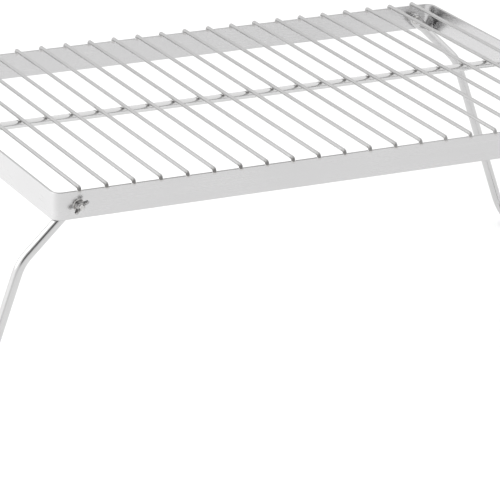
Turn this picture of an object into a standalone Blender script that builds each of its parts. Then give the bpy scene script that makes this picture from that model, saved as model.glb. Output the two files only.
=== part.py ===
"""Folding camp grill: a flat-strip frame with welded wire rods, one lengthwise bar and two U-shaped
folding legs, each hung on two screws with wing nuts. Units are metres, +Z is up, X runs along the long
side, and the origin is on the ground under the middle of the grate, with the legs open."""

import math

import bmesh
import bpy
from mathutils import Matrix, Vector

GAP = 0.0003  # clearance left between faces that touch on the real object

# Frame band: one flat strip on edge, bent to a rectangle
FRAME_LENGTH = 0.503
FRAME_WIDTH = 0.345
STRIP_HEIGHT = 0.0215
STRIP_THICKNESS = 0.002
CORNER_RADIUS = 0.008
CORNER_STEPS = 8

# Grate rods: welded by their turned-down tips to the top edge of the long strips
ROD_COUNT = 22
ROD_PITCH = 0.022
ROD_RADIUS = 0.0015
ROD_RISE = 0.0007  # underside of a rod above the top edge of the strip
ROD_BEND_RADIUS = 0.0017
ROD_BEND_STEPS = 4
ROD_BEVEL = 2  # curve bevel resolution

# Lengthwise bar: welded under the rods at the middle of the grate
BAR_RADIUS = 0.0032
BAR_SIDES = 20

# Legs: one round bar each, bent at two knees and two foot corners, with flattened and drilled ends
LEG_RADIUS = 0.004
LEG_UPPER = 0.061  # pivot to knee, along the bar
LEG_LOWER = 0.165  # knee to foot bar
LEG_UPPER_ANGLE = math.radians(46.0)  # from straight down, outwards, when the leg is open
KNEE_BEND = math.radians(26.7)
KNEE_RADIUS = 0.036
FOOT_RADIUS = 0.022
LEG_BEND_STEPS = 7
PIVOT_INSET = 0.0196  # from the end of the frame
PIVOT_HEIGHT = STRIP_HEIGHT / 2  # above the lower edge of the strip
LEG_BEVEL = 4  # curve bevel resolution
SAME_POINT = 0.0001  # path points nearer than this are merged
EYE_RADIUS = 0.0050
EYE_THICKNESS = 0.0044
EYE_TAPER = 0.015  # from the pivot to where the bar is round again
TAPER_PARTS = 4
PRESSED_FIT = 0.96  # the pressed bar stays just inside the faces and rim of the eye
EYE_SIDES = 24

# Screws, washers and wing nuts
SCREW_RADIUS = 0.0020
BORE_RADIUS = SCREW_RADIUS + GAP
SCREW_CHAMFER = 0.0006
HEAD_RADIUS = 0.0038
HEAD_HEIGHT = 0.0022
HEAD_CROWN = 0.0011  # height of the domed part of the head
DOME_STEPS = 4
SOCKET_RADIUS = 0.0014
SOCKET_DEPTH = 0.0013
SOCKET_SIDES = 6
WASHER_RADIUS = 0.0048
SPACER_THICKNESS = 0.0022
WASHER_THICKNESS = 0.0009
NUT_HUB_RADIUS = 0.0036
NUT_HUB_TOP_RADIUS = 0.0030
NUT_HUB_HEIGHT = 0.0042
WING_THICKNESS = 0.0014
WING_LOBE_RADIUS = 0.0020
WING_LOBE_OUT = 0.0050
WING_LOBE_UP = 0.0048
WING_LOBE_ARC = (-60.0, 130.0)  # from the underside of the lobe round to its inner side, in degrees
WING_LOBE_STEPS = 10
WING_START = 0.0028  # distance from the axis at which a wing begins, inside the hub
WING_FOOT = 0.0006  # height of a wing's lower edge at the hub
WING_SHOULDER = 0.0037  # height of its upper edge there
SCREW_TIP = 0.0010  # how far the screw stands out of the nut
TURNED_STEPS = 20
WING_ANGLES = (40.0, -70.0, 110.0, 40.0)  # where each nut came to rest, in degrees

PIVOT_X = FRAME_LENGTH / 2 - PIVOT_INSET
HOLE_LENGTH = 1.1 * FRAME_WIDTH  # one cutter goes through both long strips
STRIP_INNER_Y = FRAME_WIDTH / 2 - STRIP_THICKNESS
SPACER_Y = STRIP_INNER_Y - GAP
EYE_OUTER_Y = SPACER_Y - SPACER_THICKNESS - GAP
LEG_Y = EYE_OUTER_Y - EYE_THICKNESS / 2
HEAD_Y = EYE_OUTER_Y - EYE_THICKNESS - GAP
WASHER_Y = FRAME_WIDTH / 2 + GAP
NUT_Y = WASHER_Y + WASHER_THICKNESS + GAP
SCREW_LENGTH = NUT_Y + NUT_HUB_HEIGHT + SCREW_TIP - HEAD_Y

LEG_LOWER_ANGLE = LEG_UPPER_ANGLE - KNEE_BEND
LEG_DROP = LEG_UPPER * math.cos(LEG_UPPER_ANGLE) + LEG_LOWER * math.cos(LEG_LOWER_ANGLE)
PIVOT_Z = LEG_DROP + LEG_RADIUS
STRIP_BASE_Z = PIVOT_Z - PIVOT_HEIGHT
STRIP_TOP_Z = STRIP_BASE_Z + STRIP_HEIGHT
ROD_Z = STRIP_TOP_Z + ROD_RISE + ROD_RADIUS
BAR_Z = STRIP_TOP_Z + ROD_RISE - GAP - BAR_RADIUS


def clear_scene():
    for old in list(bpy.data.objects):
        bpy.data.objects.remove(old, do_unlink=True)


def new_collection(name):
    collection = bpy.data.collections.new(name)
    bpy.context.scene.collection.children.link(collection)
    return collection


def steel(name, colour, roughness):
    material = bpy.data.materials.new(name)
    material.use_nodes = True
    shader = material.node_tree.nodes["Principled BSDF"]
    shader.inputs["Base Color"].default_value = (*colour, 1.0)
    shader.inputs["Metallic"].default_value = 1.0
    shader.inputs["Roughness"].default_value = roughness
    return material


clear_scene()
GRILL = new_collection("folding_camp_grill")
CUTTERS = new_collection("cutters")
BAND_STEEL = steel("band_steel", (0.74, 0.73, 0.72), 0.28)
WIRE_STEEL = steel("wire_steel", (0.72, 0.71, 0.70), 0.22)
LEG_STEEL = steel("leg_steel", (0.78, 0.77, 0.76), 0.12)
FASTENER_STEEL = steel("fastener_steel", (0.62, 0.61, 0.60), 0.25)


def add_object(name, data, material=None, collection=None):
    obj = bpy.data.objects.new(name, data)
    (collection or GRILL).objects.link(obj)
    if material and not data.materials:
        data.materials.append(material)
    return obj


def add_cutter(name, data):
    cutter = add_object(name, data, collection=CUTTERS)
    cutter.hide_render = True
    cutter.display_type = "WIRE"
    return cutter


def cylinder_mesh(name, radius, length, sides, axis):
    """A capped cylinder centred on its origin, along X, Y or Z."""
    shape = bmesh.new()
    bmesh.ops.create_cone(
        shape, cap_ends=True, segments=sides, radius1=radius, radius2=radius, depth=length
    )
    turn = {"X": Matrix.Rotation(math.pi / 2, 3, "Y"), "Y": Matrix.Rotation(math.pi / 2, 3, "X")}
    if axis in turn:
        bmesh.ops.rotate(shape, verts=shape.verts, matrix=turn[axis])
    mesh = bpy.data.meshes.new(name)
    shape.to_mesh(mesh)
    shape.free()
    return mesh


def smooth(mesh):
    mesh.shade_smooth()
    mesh.set_sharp_from_angle(angle=math.radians(35))


def boolean(obj, other, operation):
    modifier = obj.modifiers.new(other.name, "BOOLEAN")
    modifier.operation = operation
    modifier.object = other


def bent_path(corners, radii, steps):
    """Points along a bent bar: straight runs between corners, each corner rounded to its radius."""
    points = [Vector(corners[0])]
    for before, corner, after, radius in zip(corners, corners[1:], corners[2:], radii):
        corner = Vector(corner)
        into = (corner - Vector(before)).normalized()
        out = (Vector(after) - corner).normalized()
        turn = into.angle(out)
        start = corner - into * radius * math.tan(turn / 2)
        side = (out - into * into.dot(out)).normalized()
        for step in range(steps + 1):
            angle = turn * step / steps
            points.append(start + into * radius * math.sin(angle) + side * radius * (1 - math.cos(angle)))
    points.append(Vector(corners[-1]))
    return points


def bar_curve(name, points, radius, resolution):
    curve = bpy.data.curves.new(name, "CURVE")
    curve.dimensions = "3D"
    curve.bevel_depth = radius
    curve.bevel_resolution = resolution
    curve.use_fill_caps = True
    spline = curve.splines.new("POLY")
    spline.points.add(len(points) - 1)
    for place, point in zip(spline.points, points):
        place.co = (*point, 1.0)
    return curve


def curve_to_mesh(curve_object, weld=0.00001):
    """Replaces a curve object by the mesh it makes, with its caps welded on."""
    graph = bpy.context.evaluated_depsgraph_get()
    mesh = bpy.data.meshes.new_from_object(curve_object.evaluated_get(graph))
    shape = bmesh.new()
    shape.from_mesh(mesh)
    bmesh.ops.remove_doubles(shape, verts=shape.verts, dist=weld)
    bmesh.ops.recalc_face_normals(shape, faces=shape.faces)
    shape.to_mesh(mesh)
    shape.free()
    place = curve_object.matrix_world.copy()
    bpy.data.objects.remove(curve_object)
    return mesh, place


def rounded_rectangle(length, width, radius):
    """Corner points of a rectangle with round corners, counter-clockwise from the right."""
    points = []
    for quarter in range(4):
        sign_x = (1, -1, -1, 1)[quarter]
        sign_y = (1, 1, -1, -1)[quarter]
        for step in range(CORNER_STEPS + 1):
            angle = math.pi / 2 * (quarter + step / CORNER_STEPS)
            x = sign_x * (length / 2 - radius) + radius * math.cos(angle)
            y = sign_y * (width / 2 - radius) + radius * math.sin(angle)
            points.append((x, y))
    return points


def flat_outline(name, loops, thickness):
    """A flat shape in the XY plane, of the given thickness, from closed loops of points."""
    curve = bpy.data.curves.new(name, "CURVE")
    curve.dimensions = "2D"
    curve.fill_mode = "BOTH"
    curve.extrude = thickness / 2
    for loop in loops:
        spline = curve.splines.new("POLY")
        spline.use_cyclic_u = True
        spline.points.add(len(loop) - 1)
        for place, (x, y) in zip(spline.points, loop):
            place.co = (x, y, 0.0, 1.0)
    return curve


def turned_object(name, profile, material):
    """A body turned about its own Z axis; a profile runs down its outer side."""
    mesh = bpy.data.meshes.new(name)
    ends = [(i, i + 1) for i in range(len(profile) - 1)]
    mesh.from_pydata([(radius, 0.0, height) for radius, height in profile], ends, [])
    obj = add_object(name, mesh, material)
    screw = obj.modifiers.new("turn", "SCREW")
    screw.steps = TURNED_STEPS
    screw.render_steps = TURNED_STEPS
    screw.use_merge_vertices = True
    screw.merge_threshold = 0.00001
    return obj


def make_frame_band():
    inner = (
        FRAME_LENGTH - 2 * STRIP_THICKNESS,
        FRAME_WIDTH - 2 * STRIP_THICKNESS,
        CORNER_RADIUS - STRIP_THICKNESS,
    )
    loops = [rounded_rectangle(FRAME_LENGTH, FRAME_WIDTH, CORNER_RADIUS), rounded_rectangle(*inner)]
    outline = add_object("frame_outline", flat_outline("frame_outline", loops, STRIP_HEIGHT))
    outline.location.z = STRIP_BASE_Z + STRIP_HEIGHT / 2
    bpy.context.view_layer.update()
    mesh, place = curve_to_mesh(outline)
    smooth(mesh)
    band = add_object("frame_band", mesh, BAND_STEEL)
    band.matrix_world = place
    for side, sign in (("left", -1), ("right", 1)):
        hole = cylinder_mesh(f"{side}_pivot_hole", BORE_RADIUS, HOLE_LENGTH, TURNED_STEPS, "Y")
        cutter = add_cutter(f"{side}_pivot_hole", hole)
        cutter.location = (sign * PIVOT_X, 0.0, PIVOT_Z)
        boolean(band, cutter, "DIFFERENCE")


def make_rods():
    reach = FRAME_WIDTH / 2 - STRIP_THICKNESS / 2
    tip = STRIP_TOP_Z + GAP - ROD_Z
    corners = [(0, -reach, tip), (0, -reach, 0), (0, reach, 0), (0, reach, tip)]
    path = bent_path(corners, (ROD_BEND_RADIUS,) * 2, ROD_BEND_STEPS)
    curve = bar_curve("grate_rod", path, ROD_RADIUS, ROD_BEVEL)
    for index in range(ROD_COUNT):
        rod = add_object(f"grate_rod_{index + 1:02d}", curve, WIRE_STEEL)
        rod.location = ((index - (ROD_COUNT - 1) / 2) * ROD_PITCH, 0.0, ROD_Z)


def make_bar():
    length = FRAME_LENGTH - 2 * (STRIP_THICKNESS + GAP)
    mesh = cylinder_mesh("centre_bar", BAR_RADIUS, length, BAR_SIDES, "X")
    smooth(mesh)
    bar = add_object("centre_bar", mesh, WIRE_STEEL)
    bar.location.z = BAR_Z


def flatten_ends(mesh):
    """Presses both ends of the leg bar flat and wide, from the pivot out to the end of the taper."""
    along = Vector((-math.sin(LEG_UPPER_ANGLE), 0.0, -math.cos(LEG_UPPER_ANGLE)))
    across = Vector((along.z, 0.0, -along.x))
    pressed_thin = PRESSED_FIT * EYE_THICKNESS / (2 * LEG_RADIUS) - 1
    pressed_wide = PRESSED_FIT * EYE_RADIUS / LEG_RADIUS - 1
    for vertex in mesh.vertices:
        side = math.copysign(LEG_Y, vertex.co.y)
        flat = Vector((vertex.co.x, 0.0, vertex.co.z))
        distance = flat.dot(along)
        if distance >= EYE_TAPER or abs(vertex.co.y - side) > 2 * LEG_RADIUS:
            continue
        blend = min(1.0, max(0.0, (EYE_TAPER - distance) / (EYE_TAPER - EYE_RADIUS)))
        blend = blend * blend * (3 - 2 * blend)
        vertex.co.y = side + (vertex.co.y - side) * (1 + blend * pressed_thin)
        spread = flat.dot(across) * blend * pressed_wide
        vertex.co.x += across.x * spread
        vertex.co.z += across.z * spread


def leg_mesh():
    """The left leg about its pivot axis: down one side, along the foot and up the other side."""
    knee = (-LEG_UPPER * math.sin(LEG_UPPER_ANGLE), -LEG_UPPER * math.cos(LEG_UPPER_ANGLE))
    foot = (
        knee[0] - LEG_LOWER * math.sin(LEG_LOWER_ANGLE),
        knee[1] - LEG_LOWER * math.cos(LEG_LOWER_ANGLE),
    )
    taper = (-EYE_TAPER * math.sin(LEG_UPPER_ANGLE), -EYE_TAPER * math.cos(LEG_UPPER_ANGLE))
    shares = [part / TAPER_PARTS for part in range(TAPER_PARTS + 1)]
    down = [(taper[0] * share, taper[1] * share) for share in shares]
    half = [(x, -LEG_Y, z) for x, z in (*down, knee, foot)]
    corners = half + [(x, -y, z) for x, y, z in reversed(half)]
    straight = len(down) - 1
    radii = [0.0] * straight + [KNEE_RADIUS, FOOT_RADIUS, FOOT_RADIUS, KNEE_RADIUS] + [0.0] * straight
    points = []
    for point in bent_path(corners, radii, LEG_BEND_STEPS):
        if not points or (point - points[-1]).length > SAME_POINT:
            points.append(point)
    curve = add_object("leg_line", bar_curve("leg_line", points, LEG_RADIUS, LEG_BEVEL))
    bpy.context.view_layer.update()
    mesh, _ = curve_to_mesh(curve)
    flatten_ends(mesh)
    smooth(mesh)
    return mesh


def make_legs():
    shared = leg_mesh()
    shared.materials.append(LEG_STEEL)
    for side, sign in (("left", -1), ("right", 1)):
        pivot = bpy.data.objects.new(f"{side}_leg_pivot", None)
        GRILL.objects.link(pivot)
        pivot.location = (sign * PIVOT_X, 0.0, PIVOT_Z)
        pivot.rotation_euler.z = 0.0 if sign < 0 else math.pi
        leg = add_object(f"{side}_leg", shared)
        leg.parent = pivot
        for end, sign_y in (("front", -1), ("back", 1)):
            eye = add_cutter(
                f"{side}_{end}_eye",
                cylinder_mesh("leg_eye", EYE_RADIUS, EYE_THICKNESS, EYE_SIDES, "Y"),
            )
            bore = add_cutter(
                f"{side}_{end}_bore",
                cylinder_mesh("eye_bore", BORE_RADIUS, 2 * EYE_THICKNESS, TURNED_STEPS, "Y"),
            )
            for helper in (eye, bore):
                helper.parent = pivot
                helper.location.y = sign_y * LEG_Y
            boolean(leg, eye, "UNION")
            boolean(leg, bore, "DIFFERENCE")


def washer_profile(thickness):
    return [
        (BORE_RADIUS, thickness),
        (WASHER_RADIUS, thickness),
        (WASHER_RADIUS, 0.0),
        (BORE_RADIUS, 0.0),
        (BORE_RADIUS, thickness),
    ]


def screw_profile():
    """Head up, shank down, with the underside of the head at height zero."""
    dome = []
    for step in range(DOME_STEPS + 1):
        angle = math.pi / 2 * step / DOME_STEPS
        dome.append((HEAD_RADIUS * math.sin(angle), HEAD_HEIGHT - HEAD_CROWN * (1 - math.cos(angle))))
    return dome + [
        (HEAD_RADIUS, 0.0),
        (SCREW_RADIUS, 0.0),
        (SCREW_RADIUS, -SCREW_LENGTH + SCREW_CHAMFER),
        (SCREW_RADIUS - SCREW_CHAMFER, -SCREW_LENGTH),
        (0.0, -SCREW_LENGTH),
    ]


def wing_outline(side):
    """One wing in the nut's XZ plane: a round lobe on a tapered root that starts inside the hub."""
    points = [(side * WING_START, WING_FOOT)]
    first, last = WING_LOBE_ARC
    for step in range(WING_LOBE_STEPS + 1):
        angle = math.radians(first + (last - first) * step / WING_LOBE_STEPS)
        x = WING_LOBE_OUT + WING_LOBE_RADIUS * math.cos(angle)
        points.append((side * x, WING_LOBE_UP + WING_LOBE_RADIUS * math.sin(angle)))
    points.append((side * WING_START, WING_SHOULDER))
    return points


def wing_nut_mesh():
    """Hub and two wings about the nut's own Z axis, with its seat at height zero."""
    profile = [
        (BORE_RADIUS, NUT_HUB_HEIGHT),
        (NUT_HUB_TOP_RADIUS, NUT_HUB_HEIGHT),
        (NUT_HUB_RADIUS, 0.0),
        (BORE_RADIUS, 0.0),
        (BORE_RADIUS, NUT_HUB_HEIGHT),
    ]
    hub = turned_object("wing_nut_hub", profile, FASTENER_STEEL)
    wings = []
    for side in (-1, 1):
        curve = flat_outline("wing", [wing_outline(side)], WING_THICKNESS)
        wing = add_object("wing", curve)
        wing.rotation_euler.x = math.pi / 2
        bpy.context.view_layer.update()
        mesh, place = curve_to_mesh(wing)
        mesh.transform(place)
        wings.append(add_cutter("wing", mesh))
        boolean(hub, wings[-1], "UNION")
    bpy.context.view_layer.update()
    graph = bpy.context.evaluated_depsgraph_get()
    mesh = bpy.data.meshes.new_from_object(hub.evaluated_get(graph))
    for helper in (hub, *wings):
        bpy.data.objects.remove(helper)
    smooth(mesh)
    return mesh


def make_fasteners():
    nut_mesh = wing_nut_mesh()
    corners = [("left", "front"), ("right", "front"), ("left", "back"), ("right", "back")]
    for (side, end), wing_angle in zip(corners, WING_ANGLES):
        x = PIVOT_X * (-1 if side == "left" else 1)
        out = -1 if end == "front" else 1
        outward = Matrix.Rotation(-out * math.pi / 2, 4, "X")
        stack = (
            ("spacer_washer", washer_profile(SPACER_THICKNESS), SPACER_Y - SPACER_THICKNESS, outward),
            ("nut_washer", washer_profile(WASHER_THICKNESS), WASHER_Y, outward),
            ("pivot_screw", screw_profile(), HEAD_Y, Matrix.Rotation(math.pi, 4, "X")),
        )
        for kind, profile, y, turn in stack:
            piece = turned_object(f"{side}_{end}_{kind}", profile, FASTENER_STEEL)
            rotation = outward @ turn if kind == "pivot_screw" else turn
            piece.matrix_world = Matrix.Translation((x, out * y, PIVOT_Z)) @ rotation
        screw = bpy.data.objects[f"{side}_{end}_pivot_screw"]
        socket = add_cutter(
            f"{side}_{end}_socket",
            cylinder_mesh("screw_socket", SOCKET_RADIUS, 2 * SOCKET_DEPTH, SOCKET_SIDES, "Y"),
        )
        socket.location = (x, out * (HEAD_Y - HEAD_HEIGHT), PIVOT_Z)
        boolean(screw, socket, "DIFFERENCE")
        nut = add_object(f"{side}_{end}_wing_nut", nut_mesh, FASTENER_STEEL)
        spin = Matrix.Rotation(math.radians(wing_angle), 4, "Z")
        nut.matrix_world = Matrix.Translation((x, out * NUT_Y, PIVOT_Z)) @ outward @ spin


make_frame_band()
make_rods()
make_bar()
make_legs()
make_fasteners()
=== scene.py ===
import math

import bmesh
import bpy
from mathutils import Matrix, Quaternion, Vector


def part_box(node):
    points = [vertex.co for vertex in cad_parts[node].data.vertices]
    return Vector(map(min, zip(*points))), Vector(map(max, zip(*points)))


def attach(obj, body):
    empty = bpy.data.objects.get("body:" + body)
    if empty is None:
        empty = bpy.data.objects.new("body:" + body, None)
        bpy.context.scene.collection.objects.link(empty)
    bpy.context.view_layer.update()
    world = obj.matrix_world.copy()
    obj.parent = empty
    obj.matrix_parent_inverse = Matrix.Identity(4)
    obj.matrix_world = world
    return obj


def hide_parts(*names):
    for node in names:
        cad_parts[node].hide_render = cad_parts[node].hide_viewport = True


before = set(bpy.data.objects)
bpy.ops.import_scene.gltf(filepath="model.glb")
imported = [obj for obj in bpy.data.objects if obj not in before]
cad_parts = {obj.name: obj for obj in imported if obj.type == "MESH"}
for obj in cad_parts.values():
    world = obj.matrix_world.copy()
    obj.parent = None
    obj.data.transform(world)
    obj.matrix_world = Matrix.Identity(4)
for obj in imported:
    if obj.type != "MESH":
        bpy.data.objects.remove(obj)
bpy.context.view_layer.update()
mm = 0.001
print("frame loaded,", len(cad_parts), "CAD nodes")


# sums on a socket, and one way to add any other node
class Wire:
    def __init__(self, maker, socket):
        self.maker = maker
        self.socket = socket

    def maths(self, operation, first, second):
        return self.maker.node("ShaderNodeMath", {"operation": operation}, {0: first, 1: second})

    def __add__(self, other):
        return self.maths("ADD", self, other)

    def __radd__(self, other):
        return self.maths("ADD", other, self)

    def __sub__(self, other):
        return self.maths("SUBTRACT", self, other)

    def __rsub__(self, other):
        return self.maths("SUBTRACT", other, self)

    def __mul__(self, other):
        return self.maths("MULTIPLY", self, other)

    def __rmul__(self, other):
        return self.maths("MULTIPLY", other, self)

    def __truediv__(self, other):
        return self.maths("DIVIDE", self, other)

    def __rtruediv__(self, other):
        return self.maths("DIVIDE", other, self)

    def __pow__(self, other):
        return self.maths("POWER", self, other)

    def __mod__(self, other):
        return self.maths("FLOORED_MODULO", self, other)

    def __gt__(self, other):
        return self.maths("GREATER_THAN", self, other)

    def __lt__(self, other):
        return self.maths("LESS_THAN", self, other)

    def __abs__(self):
        return self.maths("ABSOLUTE", self, 0.0)


class Maker:
    def __init__(self, tree):
        self.tree = tree

    def feed(self, socket, value):
        if isinstance(value, (list, tuple)) and value and isinstance(value[0], Wire):
            for wire in value:
                self.tree.links.new(wire.socket, socket)
        elif isinstance(value, Wire):
            self.tree.links.new(value.socket, socket)
        else:
            socket.default_value = value

    def node(self, kind, settings=None, inputs=None, output=0):
        made = self.tree.nodes.new(kind)
        for name, value in (settings or {}).items():
            setattr(made, name, value)
        for name, value in (inputs or {}).items():
            self.feed(made.inputs[name], value)
        return Wire(self, made.outputs[output])

    def noise(self, vector, scale, detail=2.0, roughness=0.5):
        sizes = {"Vector": vector, "Scale": scale, "Detail": detail, "Roughness": roughness}
        return self.node("ShaderNodeTexNoise", {}, sizes, "Fac")

    def stretch(self, vector, scale, turn=(0.0, 0.0, 0.0)):
        sizes = {"Vector": vector, "Scale": scale, "Rotation": turn}
        return self.node("ShaderNodeMapping", {}, sizes)

    def ramp(self, value, low, high, outLow=0.0, outHigh=1.0):
        # smooth step from low to high
        sizes = {"Value": value, "From Min": low, "From Max": high, "To Min": outLow, "To Max": outHigh}
        return self.node("ShaderNodeMapRange", {"interpolation_type": "SMOOTHSTEP"}, sizes)

    def blend(self, share, first, second):
        # colours mixed by share
        settings = {"data_type": "RGBA", "clamp_factor": True}
        return self.node("ShaderNodeMix", settings, {0: share, 6: first, 7: second}, 2)

    def group(self, x, y, z):
        return self.node("ShaderNodeCombineXYZ", {}, {"X": x, "Y": y, "Z": z})


# places and sizes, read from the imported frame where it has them
def middle(node):
    low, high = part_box(node)
    return (low + high) / 2


def extent(node):
    low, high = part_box(node)
    return high - low


bandLow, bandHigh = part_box("frame_band")
rodNames = sorted(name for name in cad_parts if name.startswith("grate_rod_"))
pivot = middle("right_back_spacer_washer")
cornerNames = [(side, end) for side in ("left", "right") for end in ("front", "back")]
bandSize = {
    "length": bandHigh.x - bandLow.x,
    "width": bandHigh.y - bandLow.y,
    "height": bandHigh.z - bandLow.z,
    "base": bandLow.z,
    "thickness": 2.0 * mm,
    "cornerRadius": 8.0 * mm,
    "cornerSteps": 14,
    "edgeRadius": 0.35 * mm,
    "edgeSteps": 3,
    "boreRadius": 2.3 * mm,
}
rodSize = {
    "count": len(rodNames),
    "pitch": (middle(rodNames[-1]).x - middle(rodNames[0]).x) / (len(rodNames) - 1),
    "radius": extent(rodNames[0]).x / 2,
    "top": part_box(rodNames[0])[1].z,
    "tipOverlap": 0.3 * mm,  # the upset foot of a rod goes this deep into the strip's top edge
    "bendRadius": 1.75 * mm,
}
barSize = {"radius": extent("centre_bar").z / 2, "height": middle("centre_bar").z}
print("places read")


# finishes
def newMaterial(name, metal=1.0):
    material = bpy.data.materials.new(name)
    material.use_nodes = True
    maker = Maker(material.node_tree)
    shader = material.node_tree.nodes["Principled BSDF"]
    shader.inputs["Metallic"].default_value = metal
    where = maker.node("ShaderNodeTexCoord", {}, {}, "Object")
    return material, maker, shader, where


def splitPlace(maker, where):
    return [maker.node("ShaderNodeSeparateXYZ", {}, {"Vector": where}, axis) for axis in "XYZ"]


def feedBump(maker, shader, height, strength, distance):
    sizes = {"Strength": strength, "Distance": distance, "Height": height}
    maker.feed(shader.inputs["Normal"], maker.node("ShaderNodeBump", {}, sizes, "Normal"))


scratchLook = {
    "kinds": ((0.19, 9.0, 900.0), (-0.42, 14.0, 1300.0)),  # turn, then noise scale along and across a line
    "crest": (0.70, 0.76),
    "patchScale": 31.0,
    "patch": (0.48, 0.62),
}


def scratches(maker, where, density, seed):
    # sparse hairlines: two stretched noises, kept only at their crests
    low, high = scratchLook["crest"]
    total = 0.0
    for turn, long, fine in scratchLook["kinds"]:
        lines = maker.stretch(where, (long, long, fine), (turn, seed * 0.7 + turn, 0.3 * seed))
        crest = maker.ramp(maker.noise(lines, 1.0, 1.0), low - density, high - density)
        patches = maker.noise(where, scratchLook["patchScale"] + seed, 1.0)
        total = total + crest * maker.ramp(patches, *scratchLook["patch"])
    return total


# how the darkening of the front edge and the front feet runs along the front, from palest to darkest
frontLeftRamp = {"palestAt": 120 * mm, "darkestAt": -60 * mm}  # x along the front


def towardsLeft(maker, x):
    # 1 towards the left, where the front edge and the front feet are darkest, 0 towards the right
    return maker.ramp(x, frontLeftRamp["palestAt"], frontLeftRamp["darkestAt"])


def nearRods(maker, x, depth, finish):
    # 1 at the foot of each rod, fading out over the finish's heat reach
    along = (x / rodSize["pitch"] + 0.5 * rodSize["count"]) % 1.0
    offRod = abs(along - 0.5) * rodSize["pitch"]
    return maker.ramp((offRod * offRod + depth * depth) ** 0.5, finish["heatReach"], finish["heatCore"])


bandFinish = {
    "steel": (0.655, 0.652, 0.655, 1.0),
    "darkSteel": (0.555, 0.552, 0.555, 1.0),
    "heat": (0.40, 0.375, 0.35, 1.0),
    "edge": (0.46, 0.457, 0.457, 1.0),
    "darkFrontEdge": (0.30, 0.296, 0.292, 1.0),
    "edgeDepth": 0.30 * mm,
    "grain": (5.0, 5.0, 1500.0),
    "fineGrain": (26.0, 26.0, 5200.0),
    "cloudScale": 14.0,
    "heatReach": 2.6 * mm,
    "heatCore": 1.0 * mm,
    "heatShare": 0.3,
    "heatDepth": 4 * mm,  # how far in from the long sides heat tint can lie
    "frontEdgeDepth": 2 * mm,
    "roughness": 0.26,
    "grainRough": 0.10,
    "cloudRough": 0.08,
    "markRough": 0.10,
    "heatRough": 0.12,
    "edgeRough": 0.25,
    "bump": 0.16,
    "bumpDepth": 0.02 * mm,
}


def bandSteel():
    finish = bandFinish
    material, maker, shader, where = newMaterial("brushedBandSteel")
    x, y, z = splitPlace(maker, where)
    grain = maker.noise(maker.stretch(where, finish["grain"]), 1.0, 3.0)
    fine = maker.noise(maker.stretch(where, finish["fineGrain"]), 1.0, 2.0)
    clouds = maker.noise(where, finish["cloudScale"], 3.0)
    marks = scratches(maker, where, 0.0, 1.0)
    # heat tint round the foot of each rod, fading down from the top edge
    longSide = abs(y) > bandSize["width"] / 2 - finish["heatDepth"]
    heat = nearRods(maker, x, bandHigh.z - z, finish) * longSide
    shade = maker.blend(grain * 0.6 + clouds * 0.4, finish["darkSteel"], finish["steel"])
    tinted = maker.blend(heat * finish["heatShare"], shade, finish["heat"])
    # the sheared edges are duller than the faces, and darker along the front, most of all towards the left
    fromMiddle = abs(z - (bandLow.z + bandHigh.z) / 2)
    half = bandSize["height"] / 2
    edge = maker.ramp(fromMiddle, half - finish["edgeDepth"], half)
    atFront = y < finish["frontEdgeDepth"] - bandSize["width"] / 2
    edgeTone = maker.blend(towardsLeft(maker, x) * atFront, finish["edge"], finish["darkFrontEdge"])
    maker.feed(shader.inputs["Base Color"], maker.blend(edge, tinted, edgeTone))
    rough = finish["roughness"] + finish["grainRough"] * (grain - 0.5) + finish["cloudRough"] * (clouds - 0.5)
    rough = rough + finish["markRough"] * marks + finish["heatRough"] * heat + finish["edgeRough"] * edge
    maker.feed(shader.inputs["Roughness"], rough)
    feedBump(maker, shader, grain * 0.5 + fine * 0.5 - marks * 0.6, finish["bump"], finish["bumpDepth"])
    return material


rodFinish = {
    "steel": (0.505, 0.503, 0.502, 1.0),
    "darkSteel": (0.42, 0.418, 0.417, 1.0),
    "heat": (0.21, 0.205, 0.20, 1.0),
    "grain": (2600.0, 18.0, 2600.0),
    "clouds": (60.0, 22.0, 60.0),
    "footTop": 4.2 * mm,  # heat tint starts this far over the strip
    "footFull": 1.8 * mm,  # and is full this far over it
    "footFrom": 5 * mm,
    "footTo": 2 * mm,
    "barFrom": 5.5 * mm,
    "barTo": 1.5 * mm,
    "barDepth": 2.6 * mm,
    "footHeat": 0.1,
    "frontFootDark": 0.3,
    "leftFootDark": 0.55,
    "barHeat": 0.4,
    "roughness": 0.38,
    "grainRough": 0.12,
    "cloudRough": 0.10,
    "markRough": 0.10,
    "heatRough": 0.18,
    "bump": 0.08,
    "bumpDepth": 0.015 * mm,
}


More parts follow.
